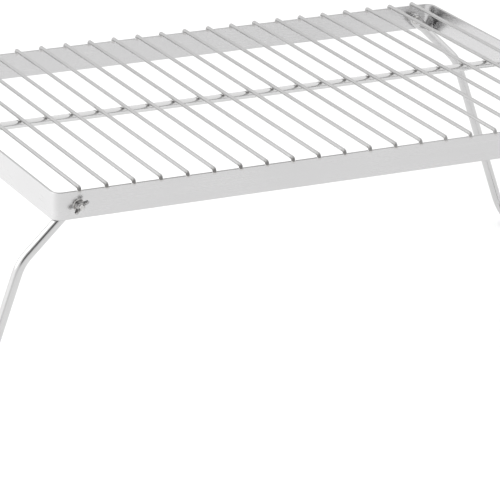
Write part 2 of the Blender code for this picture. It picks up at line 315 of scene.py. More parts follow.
def rodSteel():
    finish = rodFinish
    material, maker, shader, where = newMaterial("drawnRodSteel")
    x, y, z = splitPlace(maker, where)
    drawn = maker.noise(maker.stretch(where, finish["grain"]), 1.0, 2.0)
    clouds = maker.noise(maker.stretch(where, finish["clouds"]), 1.0, 3.0)
    own = maker.node("ShaderNodeAttribute", {"attribute_name": "tone"}, {}, "Fac")
    marks = scratches(maker, where, 0.02, 2.0)
    fromEnd = bandSize["width"] / 2 - abs(y)
    overStrip = bandHigh.z + finish["footTop"] - z
    atFoot = maker.ramp(overStrip, 0.0, finish["footTop"] - finish["footFull"])
    atFoot = atFoot * maker.ramp(fromEnd, finish["footFrom"], finish["footTo"])
    atBar = maker.ramp(abs(y), finish["barFrom"], finish["barTo"])
    atBar = atBar * maker.ramp(z, rodSize["top"], rodSize["top"] - finish["barDepth"])
    # the front feet are darker, most of all on the left
    front = (y < 0.0) * (finish["frontFootDark"] + finish["leftFootDark"] * towardsLeft(maker, x))
    heat = atFoot * (finish["footHeat"] + front) + atBar * finish["barHeat"]
    tone = drawn * 0.35 + clouds * 0.35 + own * 0.3
    shade = maker.blend(tone, finish["darkSteel"], finish["steel"])
    maker.feed(shader.inputs["Base Color"], maker.blend(heat, shade, finish["heat"]))
    rough = finish["roughness"] + finish["grainRough"] * (drawn - 0.5) + finish["cloudRough"] * (clouds - 0.5)
    maker.feed(shader.inputs["Roughness"], rough + finish["markRough"] * marks + finish["heatRough"] * heat)
    feedBump(maker, shader, drawn - marks * 0.5, finish["bump"], finish["bumpDepth"])
    return material


barFinish = {
    "steel": (0.68, 0.678, 0.678, 1.0),
    "darkSteel": (0.62, 0.618, 0.618, 1.0),
    "heat": (0.50, 0.492, 0.485, 1.0),
    "grain": (16.0, 2400.0, 2400.0),
    "cloudScale": 40.0,
    "heatReach": 2.6 * mm,
    "heatCore": 1.2 * mm,
    "heatShare": 0.6,
    "roughness": 0.10,
    "grainRough": 0.08,
    "cloudRough": 0.08,
    "markRough": 0.08,
    "heatRough": 0.15,
    "bump": 0.12,
    "bumpDepth": 0.015 * mm,
}


def barSteel():
    finish = barFinish
    material, maker, shader, where = newMaterial("polishedBarSteel")
    x, _, z = splitPlace(maker, where)
    drawn = maker.noise(maker.stretch(where, finish["grain"]), 1.0, 2.0)
    clouds = maker.noise(where, finish["cloudScale"], 3.0)
    marks = scratches(maker, where, 0.0, 3.0)
    heat = nearRods(maker, x, barSize["height"] + barSize["radius"] - z, finish)
    shade = maker.blend(drawn * 0.5 + clouds * 0.5, finish["darkSteel"], finish["steel"])
    maker.feed(shader.inputs["Base Color"], maker.blend(heat * finish["heatShare"], shade, finish["heat"]))
    rough = finish["roughness"] + finish["grainRough"] * (drawn - 0.5) + finish["cloudRough"] * (clouds - 0.5)
    maker.feed(shader.inputs["Roughness"], rough + finish["markRough"] * marks + finish["heatRough"] * heat)
    feedBump(maker, shader, drawn - marks * 0.5, finish["bump"], finish["bumpDepth"])
    return material


legFinish = {
    "steel": (0.605, 0.603, 0.604, 1.0),
    "darkSteel": (0.56, 0.558, 0.559, 1.0),
    "polish": (420.0, 420.0, 60.0),
    "smudgeScale": 26.0,
    "smudges": (0.42, 0.70),
    "roughness": 0.10,
    "polishRough": 0.05,
    "smudgeRough": 0.08,
    "markRough": 0.12,
    "bump": 0.10,
    "bumpDepth": 0.01 * mm,
}


def legSteel():
    finish = legFinish
    material, maker, shader, where = newMaterial("polishedLegSteel")
    polish = maker.noise(maker.stretch(where, finish["polish"]), 1.0, 3.0)
    smudges = maker.ramp(maker.noise(where, finish["smudgeScale"], 4.0, 0.6), *finish["smudges"])
    marks = scratches(maker, where, 0.01, 4.0)
    shade = maker.blend(polish * 0.6 + smudges * 0.4, finish["steel"], finish["darkSteel"])
    maker.feed(shader.inputs["Base Color"], shade)
    rough = finish["roughness"] + finish["polishRough"] * polish + finish["smudgeRough"] * smudges
    maker.feed(shader.inputs["Roughness"], rough + finish["markRough"] * marks)
    feedBump(maker, shader, polish * 0.4 - marks, finish["bump"], finish["bumpDepth"])
    return material


fastenerFinish = {
    "plate": (0.60, 0.592, 0.585, 1.0),
    "worn": (0.40, 0.39, 0.38, 1.0),
    "wornShare": 0.6,
    "skinScale": 2100.0,
    "cloudScale": 320.0,
    "clouds": (0.40, 0.66),
    "roughness": 0.10,
    "skinRough": 0.10,
    "cloudRough": 0.10,
    "markRough": 0.08,
    "bump": 0.22,
    "bumpDepth": 0.03 * mm,
}


def fastenerSteel():
    finish = fastenerFinish
    material, maker, shader, where = newMaterial("platedFastenerSteel")
    skin = maker.noise(where, finish["skinScale"], 3.0, 0.6)
    clouds = maker.ramp(maker.noise(where, finish["cloudScale"], 3.0), *finish["clouds"])
    marks = scratches(maker, where, 0.03, 5.0)
    shade = maker.blend(clouds * finish["wornShare"], finish["plate"], finish["worn"])
    maker.feed(shader.inputs["Base Color"], shade)
    rough = finish["roughness"] + finish["skinRough"] * skin + finish["cloudRough"] * clouds
    maker.feed(shader.inputs["Roughness"], rough + finish["markRough"] * marks)
    feedBump(maker, shader, skin - marks * 0.5, finish["bump"], finish["bumpDepth"])
    return material


nutFinish = {
    # a dark cast skin, made darker still as painted shade and painted reflection round the hub
    "castSkinAndShade": (0.36, 0.355, 0.352, 1.0),
    "rubbed": (0.60, 0.595, 0.59, 1.0),
    "skinScale": 1900.0,
    "rubScale": 260.0,
    "rub": (0.50, 0.64),
    "roughness": 0.18,
    "skinRough": 0.14,
    "markRough": 0.10,
    "bump": 0.30,
    "bumpDepth": 0.04 * mm,
}


def castSteel():
    finish = nutFinish
    material, maker, shader, where = newMaterial("castNutSteel")
    skin = maker.noise(where, finish["skinScale"], 3.0, 0.6)
    rubbed = maker.ramp(maker.noise(where, finish["rubScale"], 3.0), *finish["rub"])
    marks = scratches(maker, where, 0.03, 6.0)
    # the dark cast colour is partly painted shade round the hub; rubbed patches are lighter
    maker.feed(shader.inputs["Base Color"], maker.blend(rubbed, finish["castSkinAndShade"], finish["rubbed"]))
    rough = finish["roughness"] + finish["skinRough"] * skin + finish["markRough"] * marks
    maker.feed(shader.inputs["Roughness"], rough)
    feedBump(maker, shader, skin - marks * 0.5, finish["bump"], finish["bumpDepth"])
    return material


weldFinish = {
    "steel": (0.70, 0.697, 0.693, 1.0),
    "burnt": (0.56, 0.552, 0.545, 1.0),
    "rippleScale": 1500.0,
    "burnScale": 420.0,
    "burn": (0.42, 0.62),
    "roughness": 0.36,
    "rippleRough": 0.2,
    "bump": 0.4,
    "bumpDepth": 0.05 * mm,
}


def weldSteel():
    finish = weldFinish
    material, maker, shader, where = newMaterial("weldSteel")
    ripple = maker.noise(where, finish["rippleScale"], 3.0, 0.6)
    burnt = maker.ramp(maker.noise(where, finish["burnScale"], 2.0), *finish["burn"])
    maker.feed(shader.inputs["Base Color"], maker.blend(burnt, finish["steel"], finish["burnt"]))
    maker.feed(shader.inputs["Roughness"], finish["roughness"] + finish["rippleRough"] * (ripple - 0.5))
    feedBump(maker, shader, ripple, finish["bump"], finish["bumpDepth"])
    return material


finishes = {
    "band": bandSteel(),
    "rods": rodSteel(),
    "bar": barSteel(),
    "legs": legSteel(),
    "fasteners": fastenerSteel(),
    "nuts": castSteel(),
    "welds": weldSteel(),
}
print("finishes made")


# mesh helpers
def addObject(name, mesh, finish=None):
    made = bpy.data.objects.new(name, mesh)
    bpy.context.scene.collection.objects.link(made)
    if finish:
        mesh.materials.clear()
        mesh.materials.append(finishes[finish])
    return made


def finalMesh(made):
    # the object's mesh with its modifiers applied; the object itself goes
    bpy.context.view_layer.update()
    graph = bpy.context.evaluated_depsgraph_get()
    mesh = bpy.data.meshes.new_from_object(made.evaluated_get(graph), depsgraph=graph)
    name = made.name
    bpy.data.objects.remove(made)
    mesh.name = name
    return mesh


def smoothShade(mesh, angle):
    mesh.shade_smooth()
    mesh.set_sharp_from_angle(angle=math.radians(angle))


def flatFacesStayFlat(made):
    # shading follows the large faces, so that the small round edges don't bend it
    weighted = made.modifiers.new("weighted", "WEIGHTED_NORMAL")
    weighted.keep_sharp = True
    weighted.weight = 100


def carve(made, cutters):
    # the object's mesh less its cutters; the object and the cutters go
    for cutter in cutters:
        cut = made.modifiers.new(cutter.name, "BOOLEAN")
        cut.operation = "DIFFERENCE"
        cut.object = cutter
    mesh = finalMesh(made)
    for cutter in cutters:
        bpy.data.objects.remove(cutter)
    return mesh


def meshOf(name, shape):
    mesh = bpy.data.meshes.new(name)
    shape.to_mesh(mesh)
    shape.free()
    return mesh


def addCylinder(shape, sides, radius, topRadius, depth, place):
    bmesh.ops.create_cone(
        shape, cap_ends=True, segments=sides, radius1=radius, radius2=topRadius, depth=depth, matrix=place
    )


def anglesRound(sides):
    return [2 * math.pi * side / sides for side in range(sides)]


def cylinderAlongY(name, radius, length, centre, sides=48):
    shape = bmesh.new()
    addCylinder(shape, sides, radius, radius, length, Matrix.Identity(4))
    place = Matrix.Translation(centre) @ Matrix.Rotation(math.pi / 2, 4, "X")
    bmesh.ops.transform(shape, verts=shape.verts, matrix=place)
    return addObject(name, meshOf(name, shape))


def meshFromGrid(name, rings, closeEnds=True):
    # rings of points, each closed on itself and joined to the next, faces turned outwards
    count, sides = len(rings), len(rings[0])
    points = [tuple(point) for ring in rings for point in ring]
    faces = []
    for row in range(count - 1):
        for side in range(sides):
            after = (side + 1) % sides
            low, high = row * sides, (row + 1) * sides
            faces.append((low + side, low + after, high + after, high + side))
    if closeEnds:
        faces.append(tuple(reversed(range(sides))))
        faces.append(tuple(range((count - 1) * sides, count * sides)))
    mesh = bpy.data.meshes.new(name)
    mesh.from_pydata(points, [], faces)
    shape = bmesh.new()
    shape.from_mesh(mesh)
    if not closeEnds:
        bmesh.ops.remove_doubles(shape, verts=shape.verts, dist=0.0001 * mm)
    bmesh.ops.recalc_face_normals(shape, faces=shape.faces)
    shape.to_mesh(mesh)
    shape.free()
    return mesh


def turned(name, profile, sides=56):
    # a ring-shaped body turned about Z; the profile is a closed loop of (radius, height)
    rings = []
    for radius, height in profile:
        rings.append([(radius * math.cos(a), radius * math.sin(a), height) for a in anglesRound(sides)])
    return meshFromGrid(name, rings + rings[:1], closeEnds=False)


def roundCorner(centre, radius, start, end, steps=4):
    # points on an arc in the profile plane, angles in degrees
    points = []
    for step in range(steps + 1):
        angle = math.radians(start + (end - start) * step / steps)
        points.append((centre[0] + radius * math.cos(angle), centre[1] + radius * math.sin(angle)))
    return points


# a Geometry Nodes tree with named sizes, turned into a plain mesh
def grow(name, sizes, build):
    tree = bpy.data.node_groups.new(name, "GeometryNodeTree")
    kinds = {int: "NodeSocketInt", float: "NodeSocketFloat"}
    for key, value in sizes.items():
        kind = kinds.get(type(value), "NodeSocketObject")
        tree.interface.new_socket(key, in_out="INPUT", socket_type=kind)
    tree.interface.new_socket("Mesh", in_out="OUTPUT", socket_type="NodeSocketGeometry")
    maker = Maker(tree)
    entry = tree.nodes.new("NodeGroupInput")
    asked = {key: Wire(maker, entry.outputs[key]) for key in sizes}
    result = build(maker, asked)
    leave = tree.nodes.new("NodeGroupOutput")
    maker.feed(leave.inputs["Mesh"], result)
    holder = addObject(name, bpy.data.meshes.new(name))
    modifier = holder.modifiers.new(name, "NODES")
    modifier.node_group = tree
    for item in tree.interface.items_tree:
        if item.in_out == "INPUT":
            modifier[item.identifier] = sizes[item.name]
    return finalMesh(holder)


def realised(maker, parts, finish):
    joined = maker.node("GeometryNodeJoinGeometry", {}, {"Geometry": parts})
    plain = maker.node("GeometryNodeRealizeInstances", {}, {"Geometry": joined})
    return maker.node("GeometryNodeSetMaterial", {}, {"Geometry": plain, "Material": finishes[finish]})


# frame band: a rounded strip section carried round a rounded rectangle
def bandTree(maker, asked):
    thickness = asked["thickness"]
    path = maker.node(
        "GeometryNodeCurvePrimitiveQuadrilateral",
        {"mode": "RECTANGLE"},
        {"Width": asked["length"] - thickness, "Height": asked["width"] - thickness},
    )
    path = maker.node(
        "GeometryNodeFilletCurve",
        {"mode": "POLY"},
        {"Curve": path, "Count": asked["cornerSteps"], "Radius": asked["cornerRadius"] - thickness * 0.5},
    )
    section = maker.node(
        "GeometryNodeCurvePrimitiveQuadrilateral",
        {"mode": "RECTANGLE"},
        {"Width": thickness, "Height": asked["height"]},
    )
    section = maker.node(
        "GeometryNodeFilletCurve",
        {"mode": "POLY"},
        {"Curve": section, "Count": asked["edgeSteps"], "Radius": asked["edgeRadius"]},
    )
    strip = maker.node("GeometryNodeCurveToMesh", {}, {"Curve": path, "Profile Curve": section})
    lift = maker.group(0.0, 0.0, asked["base"] + asked["height"] * 0.5)
    strip = maker.node("GeometryNodeSetPosition", {}, {"Geometry": strip, "Offset": lift})
    return realised(maker, [strip], "band")


def makeBand():
    asked = {key: bandSize[key] for key in bandSize if key != "boreRadius"}
    band = addObject("frame_band_brushed", grow("frame_band_brushed", asked, bandTree))
    centres = [(sign * pivot.x, 0.0, pivot.z) for sign in (-1, 1)]
    depth = 1.2 * bandSize["width"]
    drills = [cylinderAlongY("pivot_hole", bandSize["boreRadius"], depth, centre) for centre in centres]
    mesh = carve(band, drills)
    smoothShade(mesh, 40.0)
    band = addObject("frame_band_brushed", mesh, "band")
    flatFacesStayFlat(band)
    band = addObject("frame_band_brushed", finalMesh(band))
    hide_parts("frame_band")
    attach(band, "grate")
    print("band made,", len(band.data.polygons), "faces")


makeBand()


# grate rods: one bent path, one drawn section, set out along the frame
rodLook = {"sides": 20, "bendSteps": 7, "toneSpread": 1.0, "seed": 11}


def rodRow(maker, asked, y, z):
    # one point at each rod
    first = asked["pitch"] * (asked["count"] - 1.0) * -0.5
    return maker.node(
        "GeometryNodeMeshLine",
        {"mode": "OFFSET"},
        {
            "Count": asked["count"],
            "Start Location": maker.group(first, y, z),
            "Offset": maker.group(asked["pitch"], 0.0, 0.0),
        },
    )


def rodTree(maker, asked):
    line = maker.node("GeometryNodeCurvePrimitiveLine")
    line = maker.node("GeometryNodeResampleCurve", {"mode": "COUNT"}, {"Curve": line, "Count": 4})
    index = maker.node("GeometryNodeInputIndex")
    side = (index > 1.5) * 2.0 - 1.0
    inner = (index > 0.5) * (index < 2.5)
    height = asked["foot"] + inner * (asked["axisHeight"] - asked["foot"])
    corners = maker.group(0.0, side * asked["reach"], height)
    line = maker.node("GeometryNodeSetPosition", {}, {"Geometry": line, "Position": corners})
    bent = maker.node(
        "GeometryNodeFilletCurve",
        {"mode": "POLY"},
        {"Curve": line, "Count": asked["bendSteps"], "Radius": asked["bendRadius"]},
    )
    section = maker.node(
        "GeometryNodeCurvePrimitiveCircle", {}, {"Resolution": asked["sides"], "Radius": asked["radius"]}
    )
    rod = maker.node(
        "GeometryNodeCurveToMesh", {}, {"Curve": bent, "Profile Curve": section, "Fill Caps": True}
    )
    rod = maker.node("GeometryNodeSetShadeSmooth", {}, {"Geometry": rod, "Shade Smooth": True})
    row = rodRow(maker, asked, 0.0, 0.0)
    rods = maker.node("GeometryNodeInstanceOnPoints", {}, {"Points": row, "Instance": rod})
    spread = {2: 0.0, 3: asked["toneSpread"], "Seed": asked["seed"]}
    tone = maker.node("FunctionNodeRandomValue", {"data_type": "FLOAT"}, spread, 1)
    rods = maker.node(
        "GeometryNodeStoreNamedAttribute",
        {"data_type": "FLOAT", "domain": "INSTANCE"},
        {"Geometry": rods, "Name": "tone", "Value": tone},
    )
    return realised(maker, [rods], "rods")


def makeRods():
    asked = {
        "count": rodSize["count"],
        "pitch": rodSize["pitch"],
        "radius": rodSize["radius"],
        "reach": bandSize["width"] / 2 - bandSize["thickness"] / 2,
        "axisHeight": rodSize["top"] - rodSize["radius"],
        "foot": bandHigh.z - rodSize["tipOverlap"],
        "bendRadius": rodSize["bendRadius"],
        **rodLook,
    }
    mesh = grow("grate_rods_drawn", asked, rodTree)
    rods = addObject("grate_rods_drawn", mesh)
    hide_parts(*rodNames)
    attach(rods, "grate")
    print("rods made,", len(mesh.polygons), "faces")


makeRods()


# welds: a small upset collar at each rod foot, a flat bead where each rod crosses the bar
weldSize = {
    "collarLong": 1.95 * mm,
    "collarWide": 1.25 * mm,
    "collarHigh": 0.6 * mm,
    "beadLong": 1.35 * mm,
    "beadWide": 1.5 * mm,
    "beadHigh": 0.55 * mm,
    "ballSteps": 3,
    "lumpScale": 1.6,
    "lumps": 0.32,
    "smallest": 0.9,
    "largest": 1.12,
    "seed": 4,
}
weldSeat = {"collarDepth": 0.1 * mm, "beadLift": 0.05 * mm}


def weldTree(maker, asked):
    ball = maker.node("GeometryNodeMeshIcoSphere", {}, {"Radius": 1.0, "Subdivisions": asked["ballSteps"]})
    here = maker.node("GeometryNodeInputPosition")
    lump = (maker.noise(here, asked["lumpScale"], 2.0) - 0.5) * asked["lumps"]
    normal = maker.node("GeometryNodeInputNormal")
    push = maker.node("ShaderNodeVectorMath", {"operation": "SCALE"}, {0: normal, "Scale": lump})
    ball = maker.node("GeometryNodeSetPosition", {}, {"Geometry": ball, "Offset": push})
    ball = maker.node("GeometryNodeSetShadeSmooth", {}, {"Geometry": ball, "Shade Smooth": True})
    parts = []
    rows = (
        (asked["reach"] * -1.0, asked["stripTop"], "collar"),
        (asked["reach"], asked["stripTop"], "collar"),
        (0.0, asked["barTop"], "bead"),
    )
    for number, (y, z, kind) in enumerate(rows):
        row = rodRow(maker, asked, y, z)
        sizes = {2: asked["smallest"], 3: asked["largest"], "Seed": asked["seed"] + float(number)}
        spread = maker.node("FunctionNodeRandomValue", {"data_type": "FLOAT"}, sizes, 1)
        long, wide = asked[kind + "Long"] * spread, asked[kind + "Wide"] * spread
        scale = maker.group(long, wide, asked[kind + "High"])
        placed = {"Points": row, "Instance": ball, "Scale": scale}
        parts.append(maker.node("GeometryNodeInstanceOnPoints", {}, placed))
    return realised(maker, parts, "welds")


def makeWelds():
    asked = {
        "count": rodSize["count"],
        "pitch": rodSize["pitch"],
        "reach": bandSize["width"] / 2 - bandSize["thickness"] / 2,
        "stripTop": bandHigh.z - weldSeat["collarDepth"],
        "barTop": barSize["height"] + barSize["radius"] + weldSeat["beadLift"],
        **weldSize,
    }
    welds = addObject("grate_welds", grow("grate_welds", asked, weldTree))
    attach(welds, "grate")
    print("welds made,", len(welds.data.polygons), "faces")


makeWelds()


# centre bar, with a fillet weld at each end
barLook = {
    "sides": 64,
    "rings": 96,
    "filletRadius": 1.9 * mm,
    "filletSteps": 6,
    "filletReach": 0.97,  # shares of the fillet's radius
    "filletRise": 0.75,
    "bulge": 0.14,
    "coarseWave": (0.22, 9, 3),  # size, waves round the bar, shift
    "fineWave": (0.12, 17, 0),
}


def filletProfile(start, radius):
    # the weld at one end: a hollow fillet with a slight belly
    fillet = barLook["filletRadius"]
    profile = [(start, radius)]
    for step in range(1, barLook["filletSteps"] + 1):
        angle = math.pi / 2 * step / barLook["filletSteps"]
        belly = barLook["bulge"] * fillet * math.sin(2 * angle)
        along = fillet * math.sin(angle) * barLook["filletReach"] - belly
        rise = fillet * (1 - math.cos(angle)) * barLook["filletRise"] + belly
        profile.append((start + along, radius + rise))
    return profile


def waveAt(angle, wave):
    size, count, shift = wave
    return size * math.sin(count * angle + shift)


def makeBar():
    radius = barSize["radius"]
    start = bandSize["length"] / 2 - bandSize["thickness"] - barLook["filletRadius"]
    profile = filletProfile(start, radius)
    step = 2 * start / barLook["rings"]
    lengths = [(-x, size) for x, size in reversed(profile)]
    lengths += [(step * ring - start, radius) for ring in range(1, barLook["rings"])]
    lengths += profile
    rings = []
    for x, size in lengths:
        ring = []
        for angle in anglesRound(barLook["sides"]):
            # the weld bead is uneven round the bar
            wave = 1.0 + waveAt(angle, barLook["coarseWave"]) + waveAt(angle, barLook["fineWave"])
            reach = radius + (size - radius) * wave
            ring.append((x, reach * math.cos(angle), barSize["height"] + reach * math.sin(angle)))
        rings.append(ring)
    mesh = meshFromGrid("centre_bar_polished", rings)
    smoothShade(mesh, 60.0)
    bar = addObject("centre_bar_polished", mesh, "bar")
    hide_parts("centre_bar")
    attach(bar, "grate")
    print("bar made,", len(mesh.polygons), "faces")


makeBar()


# legs: one round bar each, knees and foot corners bent, ends pressed flat and drilled
legSize = {
    "radius": 4.0 * mm,
    "upper": 61.0 * mm,
    "lower": 165.0 * mm,
    "upperAngle": math.radians(46.0),
    "kneeBend": math.radians(26.7),
    "kneeRadius": 36.0 * mm,
    "footRadius": 22.0 * mm,
    "eyeRadius": 5.0 * mm,
    "eyeThickness": 4.4 * mm,
    "taper": 15.0 * mm,
    "boreRadius": 2.3 * mm,
    "washerGap": 0.3 * mm,
    "endWidth": 0.06 * mm,
    "squareness": 3.4,  # how much the pressed end squares off
    "sides": 56,
    "step": 4.0 * mm,
    "bendStep": math.radians(3.0),
    "eyeRings": 14,
    "taperRings": 26,
}


def bentPath(corners, radii, straightStep):
    # points along a bar: straight runs, and each corner rounded to its radius
    points = [Vector(corners[0])]

    def runTo(target):
        start = points[-1].copy()
        pieces = max(1, int((target - start).length / straightStep))
        for piece in range(1, pieces + 1):
            points.append(start.lerp(target, piece / pieces))

    for before, corner, after, radius in zip(corners, corners[1:], corners[2:], radii):
        corner = Vector(corner)
        into = (corner - Vector(before)).normalized()
        out = (Vector(after) - corner).normalized()
        turn = into.angle(out)
        start = corner - into * radius * math.tan(turn / 2)
        side = (out - into * into.dot(out)).normalized()
        runTo(start)
        steps = max(2, round(turn / legSize["bendStep"]))
        for step in range(1, steps + 1):
            angle = turn * step / steps
            points.append(start + into * radius * math.sin(angle) + side * radius * (1 - math.cos(angle)))
    runTo(Vector(corners[-1]))
    return points


def legLine():
    # centre line from one eye to the other, in the left leg's own plane, about its pivot axis
    size = legSize
    lowerAngle = size["upperAngle"] - size["kneeBend"]
    along = Vector((-math.sin(size["upperAngle"]), 0, -math.cos(size["upperAngle"])))
    below = Vector((-math.sin(lowerAngle), 0, -math.cos(lowerAngle)))
    knee = along * size["upper"]
    foot = knee + below * size["lower"]
    offset = Vector((0, -eyeOffset(), 0))
    half = [along * size["taper"], knee, foot]
    corners = [point + offset for point in half]
    corners += [Vector((point.x, -point.y, point.z)) for point in reversed(corners)]
    radii = [size["kneeRadius"], size["footRadius"], size["footRadius"], size["kneeRadius"]]
    main = bentPath(corners, radii, size["step"])
    # fine rings over the eye and its taper, crowded towards the round end
    radius = size["eyeRadius"]
    eyeRings, taperRings = size["eyeRings"], size["taperRings"]
    spots = [-radius * math.cos(math.pi / 2 * step / eyeRings) for step in range(eyeRings + 1)]
    spots += [size["taper"] * step / taperRings for step in range(1, taperRings)]
    start = [along * spot + offset for spot in spots]
    end = [Vector((point.x, -point.y, point.z)) for point in reversed(start)]
    return start + main + end, spots


def eyeOffset():
    # middle of the pressed end, beside its spacer washer
    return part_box("left_back_spacer_washer")[0].y - legSize["washerGap"] - legSize["eyeThickness"] / 2


def sectionAt(away):
    # half width, half thickness and corner power of the bar, this far along from its pivot
    size = legSize
    share = min(1.0, max(0.0, (size["taper"] - away) / (size["taper"] - size["eyeRadius"])))
    share = share * share * (3 - 2 * share)
    halfThick = size["radius"] + share * (size["eyeThickness"] / 2 - size["radius"])
    halfWide = size["radius"] + share * (size["eyeRadius"] - size["radius"])
    if away < 0:
        halfWide = max(size["eyeRadius"] * math.sqrt(1 - (away / size["eyeRadius"]) ** 2), size["endWidth"])
    return halfWide, halfThick, 2 / (2 + size["squareness"] * share)


def legMesh():
    points, spots = legLine()
    count, sides = len(points), legSize["sides"]
    known = spots + [legSize["taper"]]
    thick = Vector((0, 1, 0))
    rings = []
    before = None
    for number, point in enumerate(points):
        low, high = points[max(number - 1, 0)], points[min(number + 1, count - 1)]
        tangent = (high - low).normalized()
        if before is not None:
            thick = before.rotation_difference(tangent) @ thick
        before = tangent
        thick = (thick - tangent * thick.dot(tangent)).normalized()
        wide = tangent.cross(thick)
        fromEnd = min(number, count - 1 - number)
        away = known[fromEnd] if fromEnd < len(known) else legSize["lower"]
        halfWide, halfThick, power = sectionAt(away)
        ring = []
        for side in range(sides):
            angle = 2 * math.pi * (side + 0.5) / sides
            c, s = math.cos(angle), math.sin(angle)
            across = math.copysign(abs(c) ** power, c) * halfWide
            up = math.copysign(abs(s) ** power, s) * halfThick
            ring.append(point + wide * across + thick * up)
        rings.append(ring)
    return meshFromGrid("leg", rings)


def makeLegs():
    shared = addObject("leg_bar", legMesh())
    centres = [(0.0, sign * eyeOffset(), 0.0) for sign in (-1, 1)]
    depth = 4 * legSize["eyeThickness"]
    drills = [cylinderAlongY("eye_bore", legSize["boreRadius"], depth, centre) for centre in centres]
    mesh = carve(shared, drills)
    smoothShade(mesh, 40.0)
    for side, turn in (("left", 0.0), ("right", math.pi)):
        place = Vector((pivot.x if side == "right" else -pivot.x, 0.0, pivot.z))
        own = mesh.copy()
        own.transform(Matrix.Translation(place) @ Matrix.Rotation(turn, 4, "Z"))
        leg = addObject(side + "_leg_polished", own, "legs")
        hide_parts(side + "_leg")
        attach(leg, side + "_leg")
    print("legs made,", len(mesh.polygons), "faces each")


makeLegs()


# screws and washers: made once about Z, set at the four pivots by one tree
headHeight = 2.2 * mm
screwSize = {
    "radius": 2.0 * mm,
    "pitch": 0.7 * mm,
    "threadDepth": 0.38 * mm,
    "plain": 5.0 * mm,  # unthreaded shank under the head
    "headRadius": extent("left_front_pivot_screw").x / 2,
    "headHeight": headHeight,
    "headDome": 0.55,  # share of the head that is domed
    "headEdge": 0.2 * mm,
    "domeSteps": 12,
    "neck": 0.2 * mm,  # fillet under the head
    "neckHeight": 0.1 * mm,
    "socketRadius": 1.45 * mm,
    "socketDepth": 1.3 * mm,
    "length": extent("left_front_pivot_screw").y - headHeight,
    "flank": 1.25,
    "leastThread": 0.25,
    "pointTurns": 0.8,
    "pointDepth": 0.35 * mm,
    "sides": 48,
    "ringsPerTurn": 8,
}
washerSize = {"boreRadius": 2.3 * mm, "outerEdge": 0.22 * mm, "innerEdge": 0.11 * mm}


def cornerTree(maker, asked):
    # four points, one at each pivot, with the piece facing outwards
    grid = maker.node(
        "GeometryNodeMeshGrid",
        {},
        {"Size X": asked["across"], "Size Y": asked["apart"], "Vertices X": 2, "Vertices Y": 2},
    )
    lift = maker.group(0.0, 0.0, asked["height"])
    grid = maker.node("GeometryNodeSetPosition", {}, {"Geometry": grid, "Offset": lift})
    here = maker.node("GeometryNodeInputPosition")
    y = maker.node("ShaderNodeSeparateXYZ", {}, {"Vector": here}, "Y")
    facing = maker.group(0.0, 0.0, (y < 0.0) * math.pi)
    piece = maker.node("GeometryNodeObjectInfo", {}, {"Object": asked["piece"]}, "Geometry")
    placed = maker.node(
        "GeometryNodeInstanceOnPoints", {}, {"Points": grid, "Instance": piece, "Rotation": facing}
    )
    return realised(maker, [placed], "fasteners")


def setAtCorners(name, mesh, seat, kind):
    # mesh points along Z from its seat; seat is the seat's distance from the middle of the grill
    mesh.transform(Matrix.Rotation(-math.pi / 2, 4, "X"))
    piece = addObject("loose_" + name, mesh)
    asked = {"piece": piece, "across": 2 * pivot.x, "apart": 2 * seat, "height": pivot.z}
    placed = addObject(name, grow(name, asked, cornerTree))
    bpy.data.objects.remove(piece)
    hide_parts(*[f"{side}_{end}_{kind}" for side, end in cornerNames])
    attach(placed, "grate")


def washerMesh(name, outer, thickness):
    inner, edge, rim = washerSize["boreRadius"], washerSize["outerEdge"], washerSize["innerEdge"]
    profile = roundCorner((outer - edge, thickness - edge), edge, 90, 0)
    profile += roundCorner((outer - edge, edge), edge, 0, -90)
    profile += roundCorner((inner + rim, rim), rim, -90, -180, 2)
    profile += roundCorner((inner + rim, thickness - rim), rim, 180, 90, 2)
    mesh = turned(name, profile)
    smoothShade(mesh, 50.0)
    return mesh


def screwMesh():
    # head down at the seat, threaded shank up
    size = screwSize
    rings = []

    def addRing(height, radiusAt):
        ring = []
        for angle in anglesRound(size["sides"]):
            radius = radiusAt(angle)
            ring.append((radius * math.cos(angle), radius * math.sin(angle), height))
        rings.append(ring)

    head, high, edge = size["headRadius"], size["headHeight"], size["headEdge"]
    for step in range(1, size["domeSteps"] + 1):
        angle = math.pi / 2 * step / size["domeSteps"]
        addRing(-high + size["headDome"] * high * (1 - math.cos(angle)), lambda _: head * math.sin(angle))
    for radius, height in roundCorner((head - edge, -edge), edge, 0, 90, 3):
        addRing(height, lambda _: radius)
    addRing(0.0, lambda _: size["radius"] + size["neck"])
    addRing(size["neckHeight"], lambda _: size["radius"])
    addRing(size["plain"], lambda _: size["radius"])
    step = size["pitch"] / size["ringsPerTurn"]
    count = int((size["length"] - size["plain"]) / step)
    for ring in range(1, count + 1):
        height = size["plain"] + ring * step
        # the thread runs in over its first turn and out over its last
        turnsIn, turnsLeft = ring / size["ringsPerTurn"], (count - ring) / size["ringsPerTurn"]
        fade = min(1.0, turnsIn, turnsLeft + size["leastThread"])
        nearPoint = max(0.0, 1 - (size["length"] - height) / (size["pointTurns"] * size["pitch"]))
        point = nearPoint * size["pointDepth"]

        def thread(angle):
            phase = (height / size["pitch"] - angle / (2 * math.pi)) % 1.0
            crest = min(1.0, abs(2 * phase - 1) * size["flank"])
            return size["radius"] - size["threadDepth"] * (1 - crest) * fade - point

        addRing(height, thread)
    whole = addObject("screw", meshFromGrid("screw", rings))
    radius, depth = size["socketRadius"], 2 * size["socketDepth"]
    socket = bmesh.new()
    addCylinder(socket, 6, radius, radius, depth, Matrix.Translation((0, 0, -high)))
    mesh = carve(whole, [addObject("screw_socket", meshOf("screw_socket", socket))])
    smoothShade(mesh, 40.0)
    return mesh


